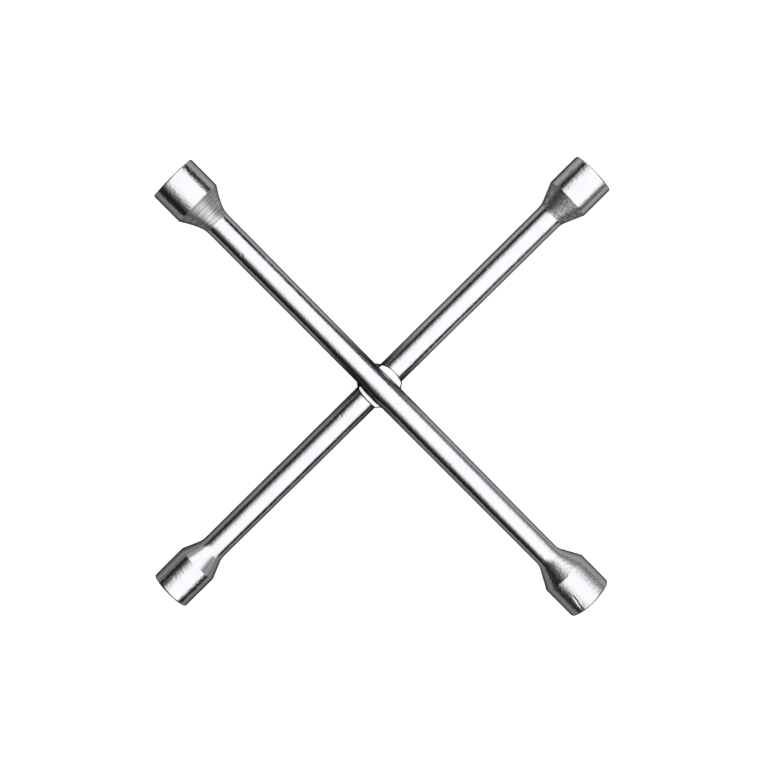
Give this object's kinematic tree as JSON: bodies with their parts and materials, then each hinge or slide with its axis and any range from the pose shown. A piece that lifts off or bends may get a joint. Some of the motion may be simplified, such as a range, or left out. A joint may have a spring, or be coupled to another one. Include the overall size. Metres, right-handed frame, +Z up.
{
  "type": "lug wrench",
  "caption": "Cross-shaped lug wrench: two round steel bars lapped and welded at the middle, with a hexagon socket welded to each end, each for a different wheel nut size.",
  "frame": {"origin": "middle of the outline seen from above, on the surface that the wrench lies on", "axes": "+Z up out of the flat cross, +X along the upper bar towards the 21 mm socket, +Y along the lower bar towards the 19 mm socket"},
  "size_m": [0.3558, 0.3578, 0.0387],
  "materials": {
    "bar_chrome": "bright chrome plate over a drawn bar, with faint lengthwise polishing and small dings",
    "socket_chrome": "bright chrome plate over a forging, slightly uneven",
    "neck_chrome": "chrome plate over weld metal dressed round the neck",
    "weld_chrome": "chrome plate over a smoothed weld bead"
  },
  "bodies": {
    "root": {"upper_bar": "bar_chrome", "lower_bar": "bar_chrome", "socket_23mm": "socket_chrome", "socket_21mm": "socket_chrome", "socket_19mm": "socket_chrome", "socket_17mm": "socket_chrome", "neck_weld_23mm": "neck_chrome", "neck_weld_21mm": "neck_chrome", "neck_weld_19mm": "neck_chrome", "neck_weld_17mm": "neck_chrome", "crossing_weld_top_a": "weld_chrome", "crossing_weld_top_b": "weld_chrome", "crossing_weld_under_a": "weld_chrome", "crossing_weld_under_b": "weld_chrome"}
  },
  "joints": []
}
